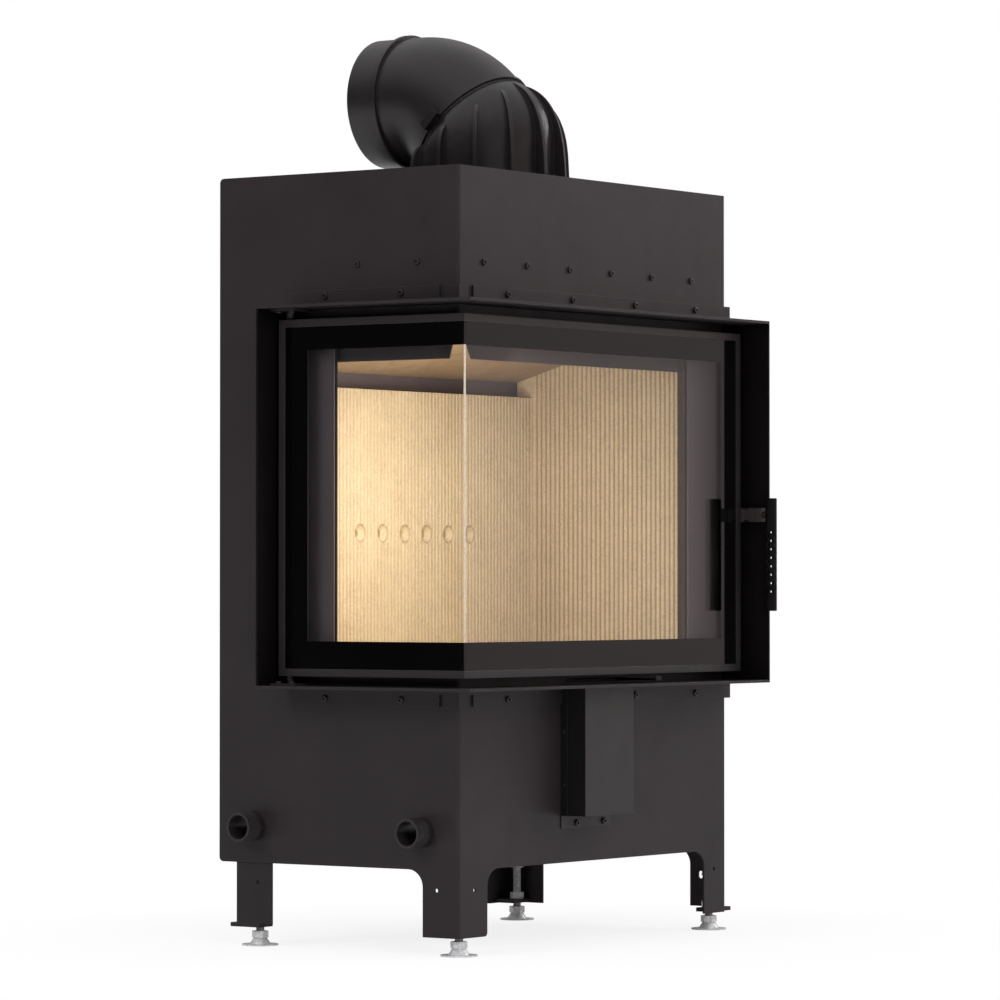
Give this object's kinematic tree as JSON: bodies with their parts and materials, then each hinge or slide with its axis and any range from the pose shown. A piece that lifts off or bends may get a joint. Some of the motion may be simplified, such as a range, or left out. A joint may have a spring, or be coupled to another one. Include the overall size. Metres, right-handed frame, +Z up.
{
  "type": "fireplace insert",
  "caption": "Steel corner fireplace insert with an L-shaped glazed door, fire-clay lined firebox, mask frame, air slide, levelling feet and a ribbed flue dome with a swivel elbow.",
  "frame": {"origin": "on the floor, under the middle of the whole insert as the bounding box sees it", "axes": "+Z up; +Y towards the back, where the flue outlet points; +X to the right seen from the front"},
  "size_m": [0.7904, 0.5268, 1.358],
  "materials": {
    "black_steel": "satin powder coat",
    "door_steel": "satin powder coat",
    "fasteners": "blackened",
    "zinc_feet": "zinc plated",
    "firebox_steel": "matt heat-proof paint",
    "fireclay": "matt",
    "pane_glass": "polished, printed black along the outer edges",
    "rope_seal": "braided glass fibre",
    "machined_steel": "machined",
    "bush_brass": "turned",
    "grip_steel": "satin",
    "pipe_steel": "satin powder coat",
    "flue_cast": "satin paint",
    "flue_steel": "satin paint"
  },
  "bodies": {
    "insert": {"air_box_base": "black_steel", "air_box_cover": "black_steel", "air_box_fasteners": "fasteners", "air_chamber": "firebox_steel", "air_deflectors": "firebox_steel", "back_lining": "fireclay", "back_panel": "black_steel", "casing_bolts": "fasteners", "firebox_back_wall": "firebox_steel", "firebox_floor": "firebox_steel", "firebox_front_wall": "firebox_steel", "firebox_left_wall": "firebox_steel", "firebox_right_wall": "firebox_steel", "firebox_top": "firebox_steel", "floor_lining": "fireclay", "flue_dome": "flue_cast", "foot_bars": "black_steel", "foot_lock_nuts": "zinc_feet", "front_lower_panel": "black_steel", "front_upper_panel": "black_steel", "hinge_pins": "machined_steel", "hinge_plates": "black_steel", "hinge_screws": "fasteners", "latch_keeper": "black_steel", "left_lining": "fireclay", "left_side_panel": "black_steel", "lower_baffle": "fireclay", "mask_bottom_plate": "black_steel", "mask_rear_end": "black_steel", "mask_right_end": "black_steel", "mask_top_plate": "black_steel", "rear_air_channel": "firebox_steel", "rear_left_leg": "black_steel", "rear_right_leg": "black_steel", "right_lining": "fireclay", "right_side_panel": "black_steel", "side_stubs": "pipe_steel", "swivel_band": "flue_steel", "upper_baffle": "firebox_steel"},
    "door": {"door_frame": "door_steel", "side_glass": "pane_glass", "front_glass": "pane_glass", "side_glass_retainer": "door_steel", "front_glass_retainer": "door_steel", "door_seal": "rope_seal", "hinge_blocks": "door_steel", "hinge_bushes": "bush_brass", "handle_housing": "door_steel"},
    "latch_lever": {"lever_shaft": "machined_steel", "latch_cam": "machined_steel", "handle_grip": "grip_steel", "grip_caps": "grip_steel"},
    "air_control": {"air_lever": "machined_steel", "air_damper": "firebox_steel"},
    "flue_outlet_elbow": {"flue_elbow": "flue_steel"},
    "front_left_leveller": {"front_left_foot": "zinc_feet"},
    "front_right_leveller": {"front_right_foot": "zinc_feet"},
    "rear_left_leveller": {"rear_left_foot": "zinc_feet"},
    "rear_right_leveller": {"rear_right_foot": "zinc_feet"}
  },
  "joints": [
    {"name": "door_swing", "type": "hinge", "parent": "insert", "child": "door", "pos_m": [-0.34225, 0.11488, 0.65], "axis": [0, 0, 1], "range_deg": [-90, 0]},
    {"name": "handle_turn", "type": "hinge", "parent": "door", "child": "latch_lever", "pos_m": [0.37015, -0.20963, 0.632], "axis": [0, 1, 0], "range_deg": [0, 75]},
    {"name": "air_slide", "type": "slide", "parent": "insert", "child": "air_control", "axis": [1, 0, 0], "range_m": [-0.14, 0]},
    {"name": "elbow_swivel", "type": "hinge", "parent": "insert", "child": "flue_outlet_elbow", "pos_m": [0.02675, 0.06742, 1.22495], "axis": [0, 0.7071, 0.7071], "range_deg": [0, 180]},
    {"name": "front_left_foot_screw", "type": "slide", "parent": "insert", "child": "front_left_leveller", "axis": [0, 0, 1], "range_m": [-0.035, 0]},
    {"name": "front_right_foot_screw", "type": "slide", "parent": "insert", "child": "front_right_leveller", "axis": [0, 0, 1], "range_m": [-0.035, 0]},
    {"name": "rear_left_foot_screw", "type": "slide", "parent": "insert", "child": "rear_left_leveller", "axis": [0, 0, 1], "range_m": [-0.035, 0]},
    {"name": "rear_right_foot_screw", "type": "slide", "parent": "insert", "child": "rear_right_leveller", "axis": [0, 0, 1], "range_m": [-0.035, 0]}
  ]
}
